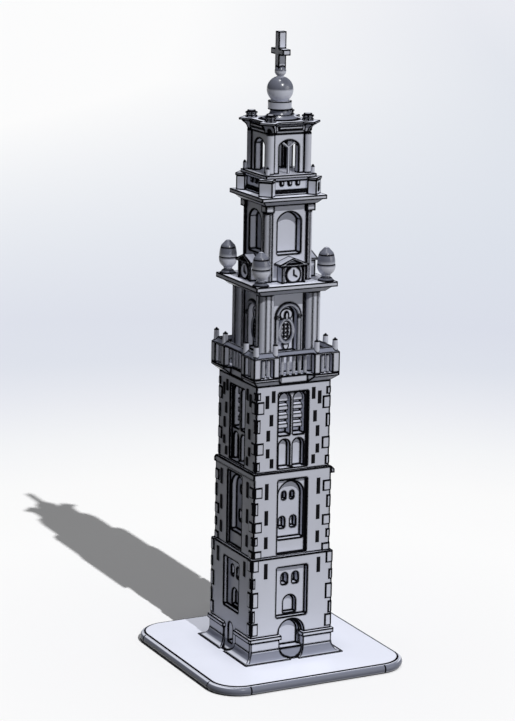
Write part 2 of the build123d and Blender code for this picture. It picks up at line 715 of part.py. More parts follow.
# ------------------------------------------------------------------ crown
EAR_FACE = 18.9 * math.sqrt(2)
EAR_WIDTH = 12.2
EAR_LENGTH = 14.2
EAR_BOTTOM = 375.1
BRACKET_WIDTH = 7.6
CROWN_HALF = 16.2

with BuildPart() as crown_cornice:
    flare(15.4, LANTERN_TOP, CROWN_HALF, 370.4)
    block(CROWN_HALF, CROWN_HALF, 370.4, 374.2)
    for angle in SIDES:
        panel(angle, CROWN_HALF, 18.0, 371.4, 373.7, -1.2, mode=Mode.ADD)
    flare(CROWN_HALF, 374.2, CROWN_HALF + 1.2, 375.2)
    block(CROWN_HALF + 1.2, CROWN_HALF + 1.2, 375.2, CROWN_TOP)
    with BuildSketch(Plane.XY.offset(EAR_BOTTOM)):
        with PolarLocations(EAR_FACE - EAR_LENGTH / 2, 4, 45):
            Rectangle(EAR_LENGTH, EAR_WIDTH)
    extrude(amount=CROWN_TOP - EAR_BOTTOM)
    for sign_x, sign_y in CORNERS:
        diagonal = Plane(origin=(0, 0, 0), x_dir=(sign_x, sign_y, 0), z_dir=(sign_y, -sign_x, 0))
        with BuildSketch(diagonal, mode=Mode.PRIVATE) as bracket:
            with BuildLine():
                Polyline((21.2, 369.0), (14.0, 369.0), (14.0, EAR_BOTTOM), (25.7, EAR_BOTTOM))
                Bezier((25.7, EAR_BOTTOM), (24.9, 372.6), (22.2, 374.0), (21.2, 369.0))
            make_face()
        extrude(bracket.sketch, amount=BRACKET_WIDTH / 2, both=True)
save(crown_cornice, "crown_cornice")

KNOB_SPOT = 14.0
with BuildPart() as crown_knobs:
    knob_layers = (
        (4.1, CROWN_TOP, 377.8),
        (3.5, 377.8, 379.2),
        (4.1, 379.2, 380.3),
        (2.9, 380.3, 381.4),
    )
    for radius, bottom, top in knob_layers:
        with BuildSketch(Plane.XY.offset(bottom)):
            with GridLocations(2 * KNOB_SPOT, 2 * KNOB_SPOT, 2, 2):
                RegularPolygon(radius, 8, rotation=22.5)
        extrude(amount=top - bottom)
save(crown_knobs, "crown_knobs")

AXIS_PLANE = Plane(origin=(0, 0, 0), x_dir=(1, 0, 0), z_dir=(0, -1, 0))
with BuildPart() as bell_roof:
    with BuildSketch(AXIS_PLANE):
        with BuildLine():
            Polyline((6.4, ROOF_TOP), (0, ROOF_TOP), (0, CROWN_TOP), (14.5, CROWN_TOP))
            ThreePointArc((14.5, CROWN_TOP), (11.0, 377.6), (8.6, 379.4))
            Line((8.6, 379.4), (7.7, 379.4))
            ThreePointArc((7.7, 379.4), (6.8, 381.0), (6.4, ROOF_TOP))
        make_face()
    revolve(axis=Axis.Z)
save(bell_roof, "bell_roof")

with BuildPart() as ball_ring:
    with BuildSketch(Plane.XY.offset(ROOF_TOP)):
        Circle(8.0)
    extrude(amount=RING_TOP - ROOF_TOP)
save(ball_ring, "ball_ring")

with BuildPart() as great_ball:
    with Locations((0, 0, 396.2)):
        Sphere(8.95)
    block(10, 10, 380, RING_TOP, Mode.SUBTRACT)
    block(10, 10, BALLS_MEET, 410, Mode.SUBTRACT)
save(great_ball, "great_ball")

with BuildPart() as small_ball:
    with Locations((0, 0, 408.5)):
        Sphere(3.9)
    block(5, 5, 400, BALLS_MEET, Mode.SUBTRACT)
save(small_ball, "small_ball")

with BuildPart() as cross:
    block(2.8, 2.5, CROSS_FOOT, TOTAL_HEIGHT)
    block(2.8, 8.75, 419.5, 423.5)
    add(small_ball.part, mode=Mode.SUBTRACT)
save(cross, "cross")
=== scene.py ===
"""Display model of a bell tower: resin finish, corner stones, wall anchors, clock hands and stage."""

import math
from typing import NamedTuple

import bmesh
import bpy
from mathutils import Matrix, Vector


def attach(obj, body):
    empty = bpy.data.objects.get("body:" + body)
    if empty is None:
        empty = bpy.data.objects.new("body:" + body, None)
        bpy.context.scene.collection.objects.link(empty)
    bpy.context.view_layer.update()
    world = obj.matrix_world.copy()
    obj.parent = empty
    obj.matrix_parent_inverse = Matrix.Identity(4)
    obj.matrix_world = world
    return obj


bl_info = {
    "name": "Bell Tower Display Model",
    "version": (1, 0, 0),
    "blender": (4, 5, 0),
    "location": "View3D > Sidebar > Bell Tower",
    "description": "Finishes the cast pieces of a bell tower model and adds its fine trim",
    "category": "Object",
}

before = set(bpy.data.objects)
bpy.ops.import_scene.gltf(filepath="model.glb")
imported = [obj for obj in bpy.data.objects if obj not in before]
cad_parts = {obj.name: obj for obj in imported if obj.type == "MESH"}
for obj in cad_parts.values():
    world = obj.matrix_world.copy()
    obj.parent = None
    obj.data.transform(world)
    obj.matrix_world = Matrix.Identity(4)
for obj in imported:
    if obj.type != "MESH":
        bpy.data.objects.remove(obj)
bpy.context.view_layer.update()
MM = 0.001
QUARTER_TURNS = (90, 180, 270)

# ---------------------------------------------------------------- corner stones, in mm
# Each stone: bottom and top height, and whether it is a long one.
STONES = {
    "ground": (
        (25.5, 33.9, True),
        (35.0, 43.1, False),
        (45.6, 56.2, True),
        (59.4, 66.3, False),
        (71.4, 79.5, True),
    ),
    "middle": (
        (80.1, 85.1, True),
        (89.4, 95.1, False),
        (98.5, 105.5, True),
        (110.9, 119.3, False),
        (122.8, 130.0, True),
    ),
    "belfry": (
        (141.4, 147.4, False),
        (152.8, 160.7, True),
        (168.0, 177.0, False),
        (181.2, 189.4, True),
        (191.0, 195.8, False),
    ),
}
STONE_LENGTHS = {"ground": (5.0, 2.6), "middle": (6.0, 3.0), "belfry": (5.7, 3.0)}
STONE_SKIRT = 0.4  # how far the sloping margins reach past the stone's face
CORNER_GAP = 0.1  # how far a stone stops short of the wall's corner
FOOT_TOP = 30.0  # the ground stage is a plain shaft above this height

# ---------------------------------------------------------------- wall anchors, in mm
# Each anchor: distance from the wall's middle line, bottom and top height.
ANCHORS = {
    "ground": ((20.4, 65.2, 76.2),),
    "middle": ((19.9, 86.2, 94.7), (19.9, 102.9, 113.3), (19.9, 120.9, 132.4)),
    "belfry": (
        (16.0, 142.6, 149.1),
        (19.1, 149.9, 156.4),
        (18.9, 161.7, 169.3),
        (16.7, 172.1, 180.1),
        (20.0, 184.5, 193.6),
        (15.3, 188.2, 196.5),
    ),
}
ANCHOR_FLANK = 0.05  # how much narrower an anchor's sloping margin is than its rise

# How deep a trim piece is let into the wall, and how far its square edge stands out of it.
SUNK = 0.3
SQUARE_EDGE = 0.1

# ---------------------------------------------------------------- clock hands, in mm
# Each hand: length, and the turn from upright in degrees.
HANDS = ((3.9, 0.0), (3.2, -120.0))
DIAL_FACE = 24.7
DIAL_HEIGHT = 274.5
HAND_TAIL = 0.5
HAND_FRONT = 0.3
HAND_STEP = 0.2  # how far the second hand lies in front of the first
TIP_SHARE = 0.25  # share of a hand's length that tapers
TIP_WIDTH = 0.35  # share of its width that is left at the tip

# ---------------------------------------------------------------- painted lines, in metres
# These lines are put on by place, whatever edges are there.
PLATE_SEAM = 51.5 * MM  # from the plate's middle to the seams across its rim
SEAM_FULL = 0.5 * MM
SEAM_END = 0.7 * MM
PLATE_RING = 19.3 * MM  # from the seams' crossing to the ring round a corner
RING_HALF_WIDTH = 0.7 * MM
PLATE_MIDDLE = 3.3 * MM  # the ring is painted above this height only
FOOT_LINE = 1.0 * MM
URN_BANDS = (280.15 * MM, 286.65 * MM)
BAND_HALF_WIDTH = 0.4 * MM
SQUARE_FACE = 0.95  # a stone's face is square where one part of its normal is larger than this

# ---------------------------------------------------------------- finishes
# How keenly the dark wash is looked for, on flat pieces and on pieces with full roundings: the cosine
# at which it starts and the one at which it is full.
KEEN = (0.9985, 0.990)
LESS_KEEN = (0.990, 0.965)

# Painted shade and light: sloping faces are darkened in their colour by the tint below, and level faces are
# painted lighter by the lift, as light falls on them.
SLOPE_SHADE_TINT = (0.97, 1.0, 1.12)
TOP_LIGHT_LIFT = 1.3
# Upward leans, as the upright part of a face's normal, between which an effect comes in or fades: the
# painted shade fading on level faces, the painted top light, and gentle slopes left light as a painted
# highlight.
LEVEL = (0.90, 0.98)
TOP_LIGHT_LEANS = (0.7, 0.95)
GENTLE = (0.68, 0.76)
RIM_ENDS = (0.94, 0.97)
SIDEWAYS = (0.30, 0.40)  # the same for the part of the normal to either side

# How fine the noises are, per metre, and the skin's least and most roughness.
CLOUD_SCALE = 38.0
GRAIN_SCALE = 2600.0
GRAIN_DEPTH = 0.05 * MM
WEAR_SCALE = 900.0
SKIN_ROUGHNESS = (0.20, 0.30)
WORN_INK = (0.010, 0.010, 0.012)
METAL_ROUGHNESS = 0.6
METAL_GLOSS = 0.03


class Finish(NamedTuple):
    """How one kind of casting takes the dark edge wash, and the painted shade and light on its slopes and
    tops.
    """

    reach: float = 1.0  # share of the dark wash's reach
    keenness: tuple = KEEN
    slope: tuple = (0.03, 0.10)  # upward lean at which the painted shade on slopes starts and is full
    left: float = 0.37  # share of the colour that the painted shade on slopes leaves
    side_highlight: float = 1.0  # how far gentle sideways slopes are spared the painted shade, left light as a painted highlight
    gloss: float = 0.15


FINISHES = {
    "Cast resin": Finish(),
    "Fine resin": Finish(reach=0.75),
    "Rail resin": Finish(reach=0.87),
    "Stone resin": Finish(reach=0.4),
    "Tracery resin": Finish(reach=0.25),
    "Louvre resin": Finish(reach=0.6, slope=(2.0, 3.0)),  # no lean reaches it, so the slats get no painted shade
    "Peg resin": Finish(reach=0.42, side_highlight=0.0, gloss=0.3),
    "Turned resin": Finish(0.9, LESS_KEEN, (-0.05, 0.10), left=0.25, side_highlight=0.0, gloss=0.5),
    "Urn resin": Finish(0.9, LESS_KEEN, (-0.05, 0.10), left=0.25, side_highlight=0.0, gloss=0.5),
    "Plate resin": Finish(1.3, LESS_KEEN, (-0.6, -0.3), left=0.27),
}
FINISH_OF = {
    "Peg resin": ("gallery_pegs", "pedestal_pegs"),
    "Louvre resin": ("louvres_",),
    "Rail resin": ("gallery_parapet",),
    "Turned resin": ("great_ball", "small_ball", "ball_ring", "bell_roof"),
    "Urn resin": ("urn_",),
    "Plate resin": ("base_plate",),
    "Fine resin": (
        "foot_corner_", "cartouche_", "great_cornice", "upper_cornice", "pedestal", "crown_", "cross",
    ),
    "Tracery resin": ("tracery_",),
}

# ---------------------------------------------------------------- floor, lamps and camera
FLOOR_SIZE = 40.0
FLOOR_REACH = 6.0  # the distance that the ramp of tints covers
# Floor tints: distance from the model in metres, and the share of the floor's own colour.
FLOOR_TINTS = (
    (0.10, (0.96, 0.96, 0.97)),
    (0.30, (1.0, 1.0, 1.0)),
    (0.45, (0.985, 0.985, 0.985)),
    (0.577, (0.93, 0.94, 0.955)),
    (0.729, (0.84, 0.855, 0.905)),
    (0.90, (0.745, 0.775, 0.85)),
    (1.10, (0.71, 0.74, 0.83)),
    (1.60, (0.715, 0.755, 0.835)),
    (2.70, (0.755, 0.79, 0.855)),
    (4.95, (0.835, 0.85, 0.90)),
)
# The floor gets paler again far off to the camera's left. CAMERA_RIGHT is the right-hand direction
# of the camera at CAMERA_HEADING, written out. The paint stays where it is when the camera moves, but
# it was laid out for this one view, and from the other sides it runs across the floor at a slant.
# The places are distances along CAMERA_RIGHT, and the paling comes in between two distances from
# the model.
CAMERA_RIGHT = (0.889, -0.458, 0.0)
TINT_KEPT = 0.49
TINT_GONE = -0.21
PALER_FROM = 0.8
PALER_FULL = 3.3
FLOOR_BOUNCE = (0.05, 0.05, 0.05)  # the floor's colour for the light that it throws on the model
# The floor is level, but it is shaded as if it leaned 45 degrees forward, square to the key lamp, so
# the key gives more of its light and the model's shadow on it is darker.
FLOOR_LEAN = 0.7071

# Tilt of each distant lamp in degrees, and how wide it spreads. The key is narrow, so its shadows are
# hard. Little light comes from behind, so the back of the model is dark.
KEY_TILT = (45, 0, 0.66)
FILL_TILT = (80, 0, 42)
OVERHEAD = (0, 0, 0)
KEY_SPREAD = 0.6
FILL_SPREAD = 40.0
TOP_SPREAD = 10.0
FLOOR_SPREAD = 30.0
SKY_COLOUR = (0.93, 0.95, 1.0, 1.0)

CAMERA_LENS = 128.49
CAMERA_SENSOR = 36.0
CAMERA_PLACE = (-0.79546, -1.51901, 0.61053)
CAMERA_HEADING = -27.24
CAMERA_DROP = 13.15
CAMERA_ROLL = 0.988


# ---------------------------------------------------------------- sizes and colours a user may change
class TowerFinish(bpy.types.PropertyGroup):
    resin: bpy.props.FloatVectorProperty(
        name="Resin",
        description="Colour of the cast resin",
        subtype="COLOR",
        size=3,
        default=(0.50, 0.515, 0.585),
    )
    ink: bpy.props.FloatVectorProperty(
        name="Ink",
        description="Colour of the dark wash that lies along the edges",
        subtype="COLOR",
        size=3,
        default=(0.004, 0.004, 0.005),
    )
    ink_reach: bpy.props.FloatProperty(
        name="Ink reach",
        description="How far the wash looks for an edge",
        unit="LENGTH",
        default=0.0024,
        min=0.0,
    )
    grain: bpy.props.FloatProperty(
        name="Grain",
        description="Depth of the fine casting grain",
        default=0.08,
        min=0.0,
        max=1.0,
    )


class TowerTrim(bpy.types.PropertyGroup):
    stone_rise: bpy.props.FloatProperty(
        name="Stone rise",
        description="How far the corner stones stand out of the wall",
        unit="LENGTH",
        default=0.0009,
    )
    anchor_width: bpy.props.FloatProperty(
        name="Anchor width",
        description="Width of a wall anchor",
        unit="LENGTH",
        default=0.0029,
    )
    anchor_rise: bpy.props.FloatProperty(
        name="Anchor rise",
        description="How far a wall anchor stands out of the wall",
        unit="LENGTH",
        default=0.0008,
    )
    hand_width: bpy.props.FloatProperty(
        name="Hand width",
        description="Width of a clock hand at its widest",
        unit="LENGTH",
        default=0.0013,
    )


class TowerStage(bpy.types.PropertyGroup):
    floor: bpy.props.FloatVectorProperty(
        name="Floor",
        description="Colour of the floor round the model",
        subtype="COLOR",
        size=3,
        default=(0.985, 0.985, 0.985),
    )
    key: bpy.props.FloatProperty(
        name="Key", description="Strength of the lamp in front", default=0.69, min=0.0
    )
    fill: bpy.props.FloatProperty(
        name="Fill", description="Strength of the low lamp beside the key", default=0.34, min=0.0
    )
    top: bpy.props.FloatProperty(
        name="Top", description="Strength of the lamp over the model", default=0.70, min=0.0
    )
    floor_key: bpy.props.FloatProperty(
        name="Floor key", description="Strength of the key on the floor", default=0.77, min=0.0
    )
    floor_top: bpy.props.FloatProperty(
        name="Floor top", description="Strength of the lamp over the floor", default=0.26, min=0.0
    )
    sky: bpy.props.FloatProperty(
        name="Sky", description="Strength of the light from all round", default=0.08, min=0.0
    )


# ---------------------------------------------------------------- shaping the trim pieces
def clear_selection():
    """Leave edit mode and select nothing."""
    if bpy.context.object is not None and bpy.context.object.mode != "OBJECT":
        bpy.ops.object.mode_set(mode="OBJECT")
    bpy.ops.object.select_all(action="DESELECT")


def half_width(piece, above=0.0):
    """Half the width of a stage's shaft, from its vertices above a height in metres."""
    return max(v.co.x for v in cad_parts[piece].data.vertices if v.co.z > above)


def shaft_walls():
    """Half the width of each shaft, in metres."""
    return {
        "ground": half_width("ground_stage", FOOT_TOP * MM),
        "middle": half_width("middle_stage"),
        "belfry": half_width("belfry_stage"),
    }


def add_block(name, low, high):
    """A block between two corners, with its place in its mesh."""
    clear_selection()
    middle = [(a + b) / 2 for a, b in zip(low, high)]
    size = [b - a for a, b in zip(low, high)]
    bpy.ops.mesh.primitive_cube_add(size=1, location=middle, scale=size)
    block = bpy.context.object
    block.name = name
    bpy.ops.object.transform_apply(location=True, rotation=True, scale=True)
    return block


def select_face(obj, toward):
    """Go into edit mode with only the faces selected that look in a direction."""
    bpy.ops.object.mode_set(mode="EDIT")
    mesh = bmesh.from_edit_mesh(obj.data)
    for part in (*mesh.faces, *mesh.edges, *mesh.verts):
        part.select_set(False)
    for face in mesh.faces:
        if face.normal.dot(Vector(toward)) > 0.9:
            face.select_set(True)
    bmesh.update_edit_mesh(obj.data)


def raise_front(obj, margin, rise):
    """Draw the front face out into a raised field with sloping margins all round."""
    select_face(obj, (0, -1, 0))
    bpy.ops.mesh.inset(thickness=margin, depth=rise)
    bpy.ops.object.mode_set(mode="OBJECT")


def taper_tip(obj, length):
    """Draw the top face out into a tapered tip."""
    select_face(obj, (0, 0, 1))
    bpy.ops.mesh.extrude_region_move(TRANSFORM_OT_translate={"value": (0, 0, length)})
    bpy.ops.transform.resize(value=(TIP_WIDTH, 1, 1))
    bpy.ops.object.mode_set(mode="OBJECT")


def turned_copy(obj, turn):
    """A copy with a mesh of its own, turned about the tower's axis."""
    copy = obj.copy()
    copy.data = obj.data.copy()
    bpy.context.scene.collection.objects.link(copy)
    copy.data.transform(Matrix.Rotation(math.radians(turn), 4, "Z"))
    return copy


def on_four_sides(obj):
    """A front piece and its copies on the other three sides."""
    return [obj, *(turned_copy(obj, turn) for turn in QUARTER_TURNS)]


def join(objects, name):
    """Make one named object of several."""
    clear_selection()
    for obj in objects:
        obj.select_set(True)
    bpy.context.view_layer.objects.active = objects[0]
    bpy.ops.object.join()
    whole = bpy.context.object
    whole.name = name
    whole.data.name = name
    return whole


def fit_out(obj, material):
    """Give a finished piece its material and body."""
    obj.data.materials.clear()
    obj.data.materials.append(material)
    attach(obj, "root")


# ---------------------------------------------------------------- nodes
def node(tree, kind, place, **values):
    """A new node at a place in its tree, with its settings."""
    made = tree.nodes.new(kind)
    made.location = place
    for key, value in values.items():
        setattr(made, key, value)
    return made


def map_range(tree, place, source, low, high, to_low=0.0, to_high=1.0):
    """A value mapped from one range to another."""
    made = node(tree, "ShaderNodeMapRange", place)
    made.inputs["From Min"].default_value = low
    made.inputs["From Max"].default_value = high
    made.inputs["To Min"].default_value = to_low
    made.inputs["To Max"].default_value = to_high
    tree.links.new(source, made.inputs["Value"])
    return made.outputs["Result"]


def maths(tree, place, operation, first, second=None):
    """A math node on one or two values, each a socket or a number."""
    made = node(tree, "ShaderNodeMath", place, operation=operation)
    for socket, value in zip(made.inputs, (first, second)):
        if isinstance(value, (int, float)):
            socket.default_value = value
        elif value is not None:
            tree.links.new(value, socket)
    return made.outputs[0]


def between(tree, place, value, start):
    """Mask of a value between the two limits that a group takes as From and Full."""
    made = node(tree, "ShaderNodeMapRange", place)
    tree.links.new(value, made.inputs["Value"])
    tree.links.new(start.outputs["From"], made.inputs["From Min"])
    tree.links.new(start.outputs["Full"], made.inputs["From Max"])
    return made.outputs["Result"]


def blend(tree, place, share, first, second, way="MIX"):
    """Two colours mixed by a share; each is a socket, or red, green and blue."""
    made = node(tree, "ShaderNodeMix", place, data_type="RGBA", blend_type=way)
    share_socket = made.inputs[0]
    tree.links.new(share, share_socket)
    first_socket, second_socket = made.inputs[6:8]
    for socket, colour in ((first_socket, first), (second_socket, second)):
        if isinstance(colour, bpy.types.NodeSocket):
            tree.links.new(colour, socket)
        else:
            socket.default_value = (*colour, 1.0)
    return made.outputs[2]


def parts_of(tree, place, vector):
    """The X, Y and Z outputs of a vector."""
    split = node(tree, "ShaderNodeSeparateXYZ", place)
    tree.links.new(vector, split.inputs[0])
    return split.outputs


def new_group(name, inputs, outputs):
    """An empty shader group with its sockets, and its input and output nodes."""
    group = bpy.data.node_groups.new(name, "ShaderNodeTree")
    for label, kind, default in inputs:
        socket = group.interface.new_socket(label, in_out="INPUT", socket_type=kind)
        socket.default_value = default
    for label, kind in outputs:
        group.interface.new_socket(label, in_out="OUTPUT", socket_type=kind)
    start = node(group, "NodeGroupInput", (-1100, 0))
    end = node(group, "NodeGroupOutput", (700, 0))
    return group, start, end


# ---------------------------------------------------------------- shared effects
def edge_wash_group():
    """Mask of the dark wash along every edge and in every corner."""
    if "Edge wash" in bpy.data.node_groups:
        return bpy.data.node_groups["Edge wash"]
    group, start, end = new_group(
        "Edge wash",
        (
            ("Reach", "NodeSocketFloat", 0.0024),
            ("From", "NodeSocketFloat", KEEN[0]),
            ("Full", "NodeSocketFloat", KEEN[1]),
        ),
        (("Mask", "NodeSocketFloat"),),
    )
    links = group.links
    bevel = node(group, "ShaderNodeBevel", (-500, 100), samples=16)
    geometry = node(group, "ShaderNodeNewGeometry", (-500, -150))
    dot = node(group, "ShaderNodeVectorMath", (-250, 0), operation="DOT_PRODUCT")
    links.new(start.outputs["Reach"], bevel.inputs["Radius"])
    links.new(bevel.outputs["Normal"], dot.inputs[0])
    links.new(geometry.outputs["Normal"], dot.inputs[1])
    links.new(between(group, (0, 0), dot.outputs["Value"], start), end.inputs["Mask"])
    return group


def painted_slope_shade_group():
    """Mask of the painted shade on faces neither upright nor level, and of the painted light that lifts
    level ones.

    Gentle slopes that look to the two sides can be spared the painted shade, which leaves them light as a
    painted highlight, so a piece isn't alike all round.
    """
    if "Painted shade on slopes" in bpy.data.node_groups:
        return bpy.data.node_groups["Painted shade on slopes"]
    group, start, end = new_group(
        "Painted shade on slopes",
        (
            ("From", "NodeSocketFloat", 0.03),
            ("Full", "NodeSocketFloat", 0.10),
            ("Side highlight", "NodeSocketFloat", 1.0),
        ),
        (("Mask", "NodeSocketFloat"), ("Lift", "NodeSocketFloat")),
    )
    place = node(group, "ShaderNodeTexCoord", (-1100, 200))
    lean = parts_of(group, (-900, 0), place.outputs["Normal"])
    # Painted shade: faces that lean up are darkened, fading out where they are level.
    on_slopes = between(group, (-450, 250), lean["Z"], start)
    level = map_range(group, (-450, 0), lean["Z"], *LEVEL, 1.0, 0.0)
    # Gentle slopes to the two sides are spared the painted shade and stay light, a painted highlight.
    sideways = maths(group, (-700, -250), "ABSOLUTE", lean["X"])
    gentle = map_range(group, (-450, -200), lean["Z"], *GENTLE)
    to_the_side = map_range(group, (-450, -400), sideways, *SIDEWAYS)
    both = maths(group, (-300, -300), "MULTIPLY", gentle, to_the_side)
    spared = maths(group, (-150, -300), "MULTIPLY", both, start.outputs["Side highlight"])
    kept = maths(group, (0, -200), "SUBTRACT", 1.0, spared)
    wash = maths(group, (0, 100), "MULTIPLY", on_slopes, level)
    group.links.new(maths(group, (250, 0), "MULTIPLY", wash, kept), end.inputs["Mask"])
    # Painted light: level faces are lifted to a lighter colour.
    lift = map_range(group, (0, -500), lean["Z"], *TOP_LIGHT_LEANS, 1.0, TOP_LIGHT_LIFT)
    group.links.new(lift, end.inputs["Lift"])
    return group


def plate_lines_group():
    """Mask of the plate's dark lines: seams across its rim, a ring round its top and one round its foot."""
    if "Plate lines" in bpy.data.node_groups:
        return bpy.data.node_groups["Plate lines"]
    group, start, end = new_group(
        "Plate lines", (("Distance", "NodeSocketFloat", PLATE_SEAM),), (("Mask", "NodeSocketFloat"),)
    )
    links = group.links
    place = node(group, "ShaderNodeTexCoord", (-1100, 300))
    spot = parts_of(group, (-900, 100), place.outputs["Object"])
    lean = parts_of(group, (-900, -200), place.outputs["Normal"])
    past = node(group, "ShaderNodeCombineXYZ", (-300, -600))
    seams = []
    for axis, height in (("X", 200), ("Y", 0)):
        side = maths(group, (-700, height), "ABSOLUTE", spot[axis])
        away = maths(group, (-500, height), "SUBTRACT", side, start.outputs["Distance"])
        near = maths(group, (-300, height), "ABSOLUTE", away)
        seams.append(map_range(group, (-100, height), near, SEAM_FULL, SEAM_END, 1.0, 0.0))
        links.new(maths(group, (-500, height - 600), "MAXIMUM", away, 0.0), past.inputs[axis])
    either = maths(group, (100, 100), "MAXIMUM", seams[0], seams[1])
    on_rim = map_range(group, (100, -100), lean["Z"], *RIM_ENDS, 1.0, 0.0)
    rim_seams = maths(group, (300, 100), "MULTIPLY", either, on_rim)
    reach = node(group, "ShaderNodeVectorMath", (-100, -600), operation="LENGTH")
    links.new(past.outputs["Vector"], reach.inputs[0])
    off = maths(group, (50, -600), "SUBTRACT", reach.outputs["Value"], PLATE_RING)
    aside = maths(group, (200, -600), "ABSOLUTE", off)
    within = maths(group, (350, -600), "LESS_THAN", aside, RING_HALF_WIDTH)
    upper = maths(group, (350, -800), "GREATER_THAN", spot["Z"], PLATE_MIDDLE)
    top_ring = maths(group, (500, -600), "MULTIPLY", within, upper)
    foot_ring = maths(group, (500, -800), "LESS_THAN", spot["Z"], FOOT_LINE)
    rings = maths(group, (500, -300), "MAXIMUM", top_ring, foot_ring)
    links.new(maths(group, (500, 0), "MAXIMUM", rim_seams, rings), end.inputs["Mask"])
    return group


def urn_bands_group():
    """Mask of the dark rings painted in an urn's two grooves."""
    if "Urn bands" in bpy.data.node_groups:
        return bpy.data.node_groups["Urn bands"]
    group, start, end = new_group(
        "Urn bands", (("Half width", "NodeSocketFloat", BAND_HALF_WIDTH),), (("Mask", "NodeSocketFloat"),)
    )
    place = node(group, "ShaderNodeTexCoord", (-1100, 200))
    spot = parts_of(group, (-900, 0), place.outputs["Object"])
    rings = []
    for row, height in enumerate(URN_BANDS):
        away = maths(group, (-600, -200 * row), "SUBTRACT", spot["Z"], height)
        near = maths(group, (-400, -200 * row), "ABSOLUTE", away)
        rings.append(maths(group, (-200, -200 * row), "LESS_THAN", near, start.outputs["Half width"]))
    group.links.new(maths(group, (100, 0), "MAXIMUM", rings[0], rings[1]), end.inputs["Mask"])
    return group


def stone_margins_group():
    """Mask of a corner stone's sloping margins: the faces that look along none of the three axes."""
    if "Stone margins" in bpy.data.node_groups:
        return bpy.data.node_groups["Stone margins"]
    group, start, end = new_group(
        "Stone margins", (("Square", "NodeSocketFloat", SQUARE_FACE),), (("Mask", "NodeSocketFloat"),)
    )
    place = node(group, "ShaderNodeTexCoord", (-1100, 200))
    size = node(group, "ShaderNodeVectorMath", (-900, 0), operation="ABSOLUTE")
    group.links.new(place.outputs["Normal"], size.inputs[0])
    lean = parts_of(group, (-700, 0), size.outputs["Vector"])
    wider = maths(group, (-450, 0), "MAXIMUM", lean["X"], lean["Y"])
    widest = maths(group, (-250, 0), "MAXIMUM", wider, lean["Z"])
    margin = maths(group, (0, 0), "LESS_THAN", widest, start.outputs["Square"])
    group.links.new(margin, end.inputs["Mask"])
    return group


LINES_OF = {
    "Plate resin": plate_lines_group,
    "Urn resin": urn_bands_group,
    "Stone resin": stone_margins_group,
}


def casting_skin_group():
    """Cloudy colour and fine grain of an unpainted casting."""
    if "Casting skin" in bpy.data.node_groups:
        return bpy.data.node_groups["Casting skin"]
    group, start, end = new_group(
        "Casting skin",
        (("Colour", "NodeSocketColor", (0.5, 0.5, 0.5, 1.0)), ("Cloud", "NodeSocketFloat", 0.06)),
        (("Colour", "NodeSocketColor"), ("Roughness", "NodeSocketFloat"), ("Height", "NodeSocketFloat")),
    )
    links = group.links
    place = node(group, "ShaderNodeTexCoord", (-1100, -250))
    cloud = node(group, "ShaderNodeTexNoise", (-850, 100))
    cloud.inputs["Scale"].default_value = CLOUD_SCALE
    cloud.inputs["Detail"].default_value = 4.0
    grain = node(group, "ShaderNodeTexNoise", (-850, -250))
    grain.inputs["Scale"].default_value = GRAIN_SCALE
    grain.inputs["Detail"].default_value = 3.0
    links.new(place.outputs["Object"], cloud.inputs["Vector"])
    links.new(place.outputs["Object"], grain.inputs["Vector"])
    centred = maths(group, (-600, 200), "SUBTRACT", cloud.outputs["Fac"], 0.5)
    swing = maths(group, (-400, 200), "MULTIPLY", centred, start.outputs["Cloud"])
    tone = maths(group, (-200, 200), "ADD", swing, 1.0)
    tinted = node(group, "ShaderNodeVectorMath", (0, 200), operation="SCALE")
    links.new(start.outputs["Colour"], tinted.inputs[0])
    links.new(tone, tinted.inputs["Scale"])
    links.new(tinted.outputs["Vector"], end.inputs["Colour"])
    rough = map_range(group, (-200, -60), cloud.outputs["Fac"], 0.0, 1.0, *SKIN_ROUGHNESS)
    links.new(rough, end.inputs["Roughness"])
    links.new(grain.outputs["Fac"], end.inputs["Height"])
    return group


# ---------------------------------------------------------------- materials
def new_material(name):
    """A new material with nodes, and its node tree."""
    material = bpy.data.materials.new(name)
    material.use_nodes = True
    return material, material.node_tree


